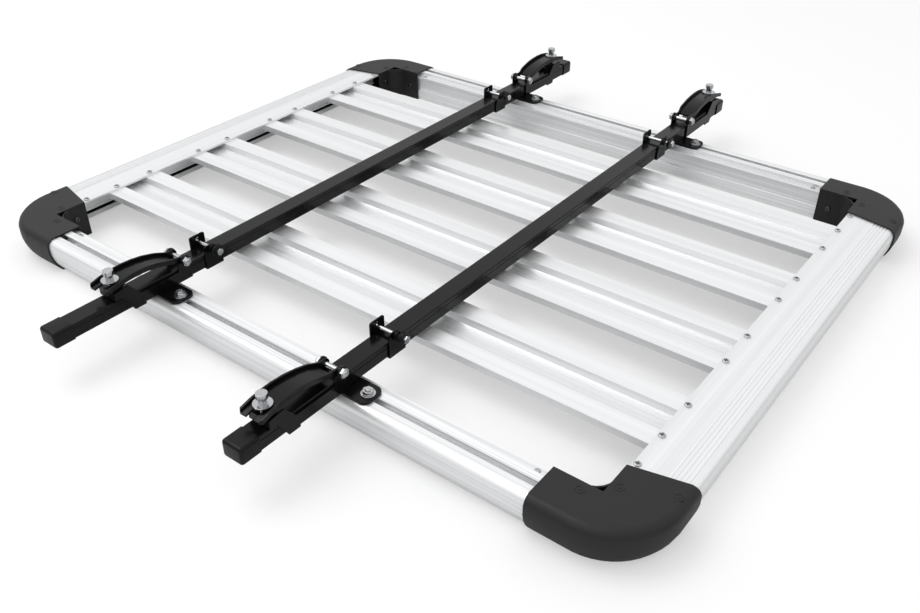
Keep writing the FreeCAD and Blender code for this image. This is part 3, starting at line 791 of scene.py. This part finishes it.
class RACK_OT_painted_slot_shade(bpy.types.Operator):
    """Dark sheets in the slots along the end rails' inner walls, painting the slots' shade"""
    bl_idname = "rack.slot_linings"
    bl_label = "Painted slot shade"

    def execute(self, context):
        skin = 0.5 * MM
        deep = 7 * MM
        openings = {
            item["name"]: item["box_m"] for item in frame["record"]["physics"]["openings"]
        }
        for hand in HANDS:
            rail = "end_rail_" + hand
            side = SIGN[hand]
            lowest, highest = (Vector(corner) for corner in openings["end_slot_" + hand])
            back = lowest.x if hand == "left" else highest.x
            size = Vector((deep, high(rail).y - low(rail).y, highest.z - lowest.z))
            place = (back - side * deep / 2, 0, (lowest.z + highest.z) / 2)
            # A thin dark shell over the slot's walls paints the slot's shade
            shade_sheet = block(size, place)
            pick_faces(shade_sheet, lambda centre, normal: side * normal.x < -FACING)
            bpy.ops.mesh.inset(thickness=skin, depth=skin - deep)
            leave_edit()
            settle(shade_sheet, "painted_slot_shade_" + hand)
            dress(shade_sheet, "rack", "painted slot shade")
        return {"FINISHED"}


class RACK_OT_rail_rivets(bpy.types.Operator):
    """Blind rivets in the side rails' ledges, beside the corner caps"""
    bl_idname = "rack.rail_rivets"
    bl_label = "Rail rivets"

    def execute(self, context):
        sizes = context.scene.rack_sizes
        radius = sizes.rivet_head / 2
        along = 441 * MM
        ledge = 6 * MM
        from_edge = 7.5 * MM
        for depth in DEPTHS:
            rail = "side_rail_" + depth
            inner = high(rail).y - from_edge if depth == "near" else low(rail).y + from_edge
            places = [Vector((x, inner, RIM_TOP - ledge)) for x in (-along, along)]
            rivets = set_out(rivet(radius), places, "rail_rivets_" + depth)
            dress(rivets, "rack", "bright zinc plate")
        return {"FINISHED"}


def rivet(radius):
    """A blind rivet's domed head with the broken mandrel sunk in its middle."""
    rise = 1.4 * MM
    rounding = 0.9 * MM
    rim = 0.3 * radius
    mandrel_sunk = 0.3 * MM
    head = cylinder(radius, rise, (0, 0, rise / 2), sides=24)
    pick_faces(head, points_up)
    bpy.ops.mesh.bevel(offset=rounding, segments=3, affect="EDGES")
    leave_edit()
    pick_faces(head, points_up)
    bpy.ops.mesh.inset(thickness=rim)
    bpy.ops.transform.translate(value=(0, 0, -mandrel_sunk))
    leave_edit()
    return settle(head, "rivet")


class RACK_OT_cap_marks(bpy.types.Operator):
    """Round ejector marks moulded into the top of each corner cap"""
    bl_idname = "rack.cap_marks"
    bl_label = "Moulding marks"

    def execute(self, context):
        sizes = context.scene.rack_sizes
        spots_mm = ((499, 446), (533, 416), (593, 390))
        for hand, depth in CORNERS:
            top = high("corner_cap_" + hand + "_" + depth).z
            places = [
                Vector((SIGN[hand] * x * MM, SIGN[depth] * y * MM, top)) for x, y in spots_mm
            ]
            marks = set_out(ejector_mark(sizes), places, "cap_marks_" + hand + "_" + depth)
            dress(marks, "rack", "grained nylon")
        return {"FINISHED"}


def ejector_mark(sizes):
    """A low raised ring round a shallow button."""
    ring_half = 0.5 * MM
    button_radius = 1.6 * MM
    button_depth = 0.8 * MM
    button_edge = 0.2 * MM
    eased_from = math.radians(30)
    lift = 0.1 * MM
    deselect()
    bpy.ops.mesh.primitive_torus_add(
        major_segments=36, minor_segments=8, major_radius=sizes.mark_size / 2,
        minor_radius=ring_half, location=(0, 0, 0))
    ring = settle(bpy.context.object, "ring")
    button = cylinder(button_radius, button_depth, (0, 0, lift), sides=20)
    bevel(button, button_edge, 2, eased_from)
    settle(button, "button")
    return join([ring, button], "ejector_mark")


class RACK_OT_domes_and_threads(bpy.types.Operator):
    """Domed ends on the pivot pins, and threads on the bolts' tips"""
    bl_idname = "rack.domes_and_threads"
    bl_label = "Domed ends and threads"

    def execute(self, context):
        pitch = context.scene.rack_sizes.thread_pitch
        dome_radius = 5.6 * MM
        dome_rise = 3.2 * MM
        bolt_radius = 4 * MM
        arm_bolt_turns = 9
        arm_bolt_lead = 1 * MM
        rail_bolt_turns = 1
        rail_bolt_lead = 2 * MM
        across = Matrix.Rotation(math.pi / 2, 4, "Y")
        for hand, depth in CORNERS:
            place = hand + "_" + depth
            pin = "pivot_pin_" + place
            ends = [
                Vector((high(pin).x, middle(pin).y, middle(pin).z)),
                Vector((low(pin).x, middle(pin).y, middle(pin).z)),
            ]
            domes = set_out(
                dome(dome_radius, dome_rise), ends, "pin_domes_" + place,
                [across, across.inverted()])
            dress(domes, "jaw_" + place, "bright zinc plate")
            bolt = "arm_bolt_" + place
            start = Vector((middle(bolt).x, middle(bolt).y, low(bolt).z + arm_bolt_lead))
            screw = set_out(
                thread(bolt_radius, pitch, arm_bolt_turns), [start], "arm_thread_" + place)
            dress(screw, "arm_" + place, "bright zinc plate")
            bolt = "rail_bolt_" + place
            start = Vector((middle(bolt).x, middle(bolt).y, high(bolt).z - rail_bolt_lead))
            screw = set_out(
                thread(bolt_radius, pitch, rail_bolt_turns), [start], "rail_thread_" + place)
            dress(screw, "crossbar_" + hand, "bright zinc plate")
        return {"FINISHED"}


def dome(radius, rise):
    """Upper half of a ball, squashed, with its flat base closed."""
    deselect()
    bpy.ops.mesh.primitive_uv_sphere_add(segments=28, ring_count=14, radius=radius)
    ball = bpy.context.object
    bpy.ops.object.mode_set(mode="EDIT")
    bpy.ops.mesh.select_all(action="SELECT")
    bpy.ops.mesh.bisect(
        plane_co=(0, 0, 0), plane_no=(0, 0, 1), clear_inner=True, use_fill=True)
    leave_edit()
    ball.scale = (1, 1, rise / radius)
    return settle(ball, "dome")


def thread(radius, pitch, turns):
    """One helical ridge, from a three-sided section carried up round Z."""
    ridge_radius = 0.45 * pitch
    sunk = 0.1 * pitch
    steps = 20
    deselect()
    bpy.ops.mesh.primitive_circle_add(
        vertices=3, radius=ridge_radius, location=(radius - sunk, 0, 0),
        rotation=(math.pi / 2, 0, 0))
    ridge = settle(bpy.context.object, "thread")
    winding = ridge.modifiers.new("winding", "SCREW")
    winding.axis = "Z"
    winding.screw_offset = pitch
    winding.iterations = turns
    winding.steps = steps
    winding.render_steps = steps
    apply_modifier(ridge, winding)
    bpy.ops.object.mode_set(mode="EDIT")
    bpy.ops.mesh.select_all(action="SELECT")
    bpy.ops.mesh.fill_holes(sides=3)
    bpy.ops.mesh.normals_make_consistent(inside=False)
    leave_edit()
    return ridge


class RACK_OT_studio(bpy.types.Operator):
    """Pale floor, soft lamps and the photograph's camera"""
    bl_idname = "rack.studio"
    bl_label = "Studio and camera"

    def execute(self, context):
        colours = context.scene.rack_colours
        deselect()
        bpy.ops.mesh.primitive_plane_add(size=FLOOR_SIZE, location=(0, 0, 0))
        floor = bpy.context.object
        floor.name = "floor"
        floor_paint("studio floor", colours.floor)
        floor.data.materials.append(finish("studio floor"))
        set_world(context.scene, colours.floor)
        add_lamps()
        add_camera(context.scene)
        context.scene.view_settings.view_transform = "Standard"
        return {"FINISHED"}


def floor_paint(name, colour):
    """Matt white paint with a hint of roller texture, which fades into the backdrop."""
    tree, place = new_material(name)
    roller_size = 12 * MM
    roller = add_node(
        tree, "ShaderNodeTexNoise", {"Vector": place}, {"Scale": 1 / roller_size, "Detail": 3.0})
    relief = add_node(
        tree, "ShaderNodeBump", {"Height": roller.outputs["Fac"]},
        {"Strength": 0.05, "Distance": 0.1 * MM})
    paint = add_node(
        tree, "ShaderNodeBsdfPrincipled", {"Normal": relief.outputs["Normal"]},
        {"Base Color": [*colour, 1], "Roughness": 0.9})
    glow = add_node(
        tree, "ShaderNodeEmission", values={"Color": [*BACKDROP_WHITE, 1], "Strength": 1.0})
    path = add_node(tree, "ShaderNodeLightPath")
    away = add_node(tree, "ShaderNodeVectorMath", {0: place}, operation="LENGTH")
    share = add_node(
        tree, "ShaderNodeMapRange", {"Value": away.outputs["Value"]},
        {"From Min": FLOOR_NEAR, "From Max": FLOOR_FAR, "To Min": FLOOR_GLOW, "To Max": 1.0})
    to_eye = add_node(
        tree, "ShaderNodeMath",
        {0: path.outputs["Is Camera Ray"], 1: share.outputs["Result"]}, operation="MULTIPLY")
    seen = add_node(
        tree, "ShaderNodeMixShader",
        {"Fac": to_eye.outputs["Value"], 1: paint.outputs["BSDF"], 2: glow.outputs["Emission"]})
    in_gloss = add_node(
        tree, "ShaderNodeMath", {0: path.outputs["Is Glossy Ray"]}, {1: FLOOR_SHADE_IN_GLOSS},
        operation="MULTIPLY")
    unlit = add_node(
        tree, "ShaderNodeEmission", values={"Color": [0, 0, 0, 1], "Strength": 0.0})
    mirrored = add_node(
        tree, "ShaderNodeMixShader",
        {"Fac": in_gloss.outputs["Value"], 1: seen.outputs["Shader"],
         2: unlit.outputs["Emission"]})
    add_node(tree, "ShaderNodeOutputMaterial", {"Surface": mirrored.outputs["Shader"]})


def set_world(scene, colour):
    """Even light for the object, white to the eye, and in gloss a room that pales upwards."""
    world = bpy.data.worlds.new("studio")
    world.use_nodes = True
    tree = world.node_tree
    tree.nodes.clear()
    direction = add_node(tree, "ShaderNodeTexCoord").outputs["Generated"]
    height = add_node(tree, "ShaderNodeSeparateXYZ", {"Vector": direction}).outputs["Z"]
    pale = add_node(
        tree, "ShaderNodeMapRange", {"Value": height},
        {"From Min": 0.02, "From Max": 0.4, "To Min": HORIZON_IN_GLOSS, "To Max": 1.0},
        interpolation_type="SMOOTHSTEP")
    path = add_node(tree, "ShaderNodeLightPath")
    lit = add_node(
        tree, "ShaderNodeBackground", values={"Color": [*colour, 1], "Strength": ROOM_LIGHT})
    room = add_node(
        tree, "ShaderNodeBackground", {"Strength": pale.outputs["Result"]},
        {"Color": [*BACKDROP_WHITE, 1]})
    seen = add_node(
        tree, "ShaderNodeBackground", values={"Color": [*BACKDROP_WHITE, 1], "Strength": 1.0})
    shiny = add_node(
        tree, "ShaderNodeMath",
        {0: path.outputs["Is Glossy Ray"], 1: path.outputs["Is Transmission Ray"]},
        operation="MAXIMUM")
    mixed = add_node(
        tree, "ShaderNodeMixShader",
        {"Fac": shiny.outputs["Value"], 1: lit.outputs["Background"],
         2: room.outputs["Background"]})
    mix = add_node(
        tree, "ShaderNodeMixShader",
        {"Fac": path.outputs["Is Camera Ray"], 1: mixed.outputs["Shader"],
         2: seen.outputs["Background"]})
    add_node(tree, "ShaderNodeOutputWorld", {"Surface": mix.outputs["Shader"]})
    scene.world = world


def add_lamps():
    """Two soft square lamps over the rack, turned towards its middle."""
    lamps = (
        ("key_softbox", (-1.3, -0.7, 3.0), 2.0, 34),
        ("fill_softbox", (0.3, -2.4, 2.6), 2.0, 8),
    )
    for name, place, width, power in lamps:
        deselect()
        bpy.ops.object.light_add(type="AREA", location=place)
        lamp = bpy.context.object
        lamp.name = name
        lamp.data.size = width
        lamp.data.energy = power
        lamp.rotation_euler = (-Vector(place)).to_track_quat("-Z", "Y").to_euler()


def add_camera(scene):
    """The camera that the screws in the photograph fit, above the rim's top plane."""
    forward = Vector((
        math.cos(CAMERA_PITCH) * math.sin(CAMERA_YAW),
        math.cos(CAMERA_PITCH) * math.cos(CAMERA_YAW),
        -math.sin(CAMERA_PITCH),
    ))
    level = Vector((math.cos(CAMERA_YAW), -math.sin(CAMERA_YAW), 0))
    upright = level.cross(forward)
    right = math.cos(CAMERA_ROLL) * level + math.sin(CAMERA_ROLL) * upright
    up = math.cos(CAMERA_ROLL) * upright - math.sin(CAMERA_ROLL) * level
    deselect()
    bpy.ops.object.camera_add()
    camera = bpy.context.object
    turn = Matrix((right, up, -forward)).transposed().to_4x4()
    place = CAMERA_ABOVE_RIM + Vector((0, 0, RIM_TOP))
    camera.matrix_world = Matrix.Translation(place) @ turn
    camera.data.lens = FOCAL_PIXELS * camera.data.sensor_width / PHOTO_WIDTH
    scene.camera = camera


class RACK_PT_parts(bpy.types.Panel):
    """Lists the rack's sizes, colours and pieces"""
    bl_idname = "RACK_PT_parts"
    bl_label = "Roof rack"
    bl_space_type = "VIEW_3D"
    bl_region_type = "UI"
    bl_category = "Roof rack"

    def draw(self, context):
        for group in (context.scene.rack_sizes, context.scene.rack_colours):
            for name in group.bl_rna.properties.keys():
                if name not in ("rna_type", "name"):
                    self.layout.prop(group, name)
        for operator in OPERATORS:
            self.layout.operator(operator.bl_idname)


OPERATORS = (
    RACK_OT_finishes,
    RACK_OT_softened_edges,
    RACK_OT_bar_caps,
    RACK_OT_stop_knobs,
    RACK_OT_wall_screws,
    RACK_OT_slat_screws,
    RACK_OT_slat_ribs,
    RACK_OT_painted_slot_shade,
    RACK_OT_rail_rivets,
    RACK_OT_cap_marks,
    RACK_OT_domes_and_threads,
    RACK_OT_studio,
)
CLASSES = (RackSizes, RackColours, *OPERATORS, RACK_PT_parts)


def register():
    for item in CLASSES:
        bpy.utils.register_class(item)
    bpy.types.Scene.rack_sizes = bpy.props.PointerProperty(type=RackSizes)
    bpy.types.Scene.rack_colours = bpy.props.PointerProperty(type=RackColours)


def unregister():
    del bpy.types.Scene.rack_colours
    del bpy.types.Scene.rack_sizes
    for item in reversed(CLASSES):
        bpy.utils.unregister_class(item)


def main():
    register()
    bpy.ops.rack.finishes()
    bpy.ops.rack.softened_edges()
    bpy.ops.rack.bar_caps()
    bpy.ops.rack.stop_knobs()
    bpy.ops.rack.wall_screws()
    bpy.ops.rack.slat_screws()
    bpy.ops.rack.slat_ribs()
    bpy.ops.rack.slot_linings()
    bpy.ops.rack.rail_rivets()
    bpy.ops.rack.cap_marks()
    bpy.ops.rack.domes_and_threads()
    bpy.ops.rack.studio()


if __name__ == "__main__":
    main()
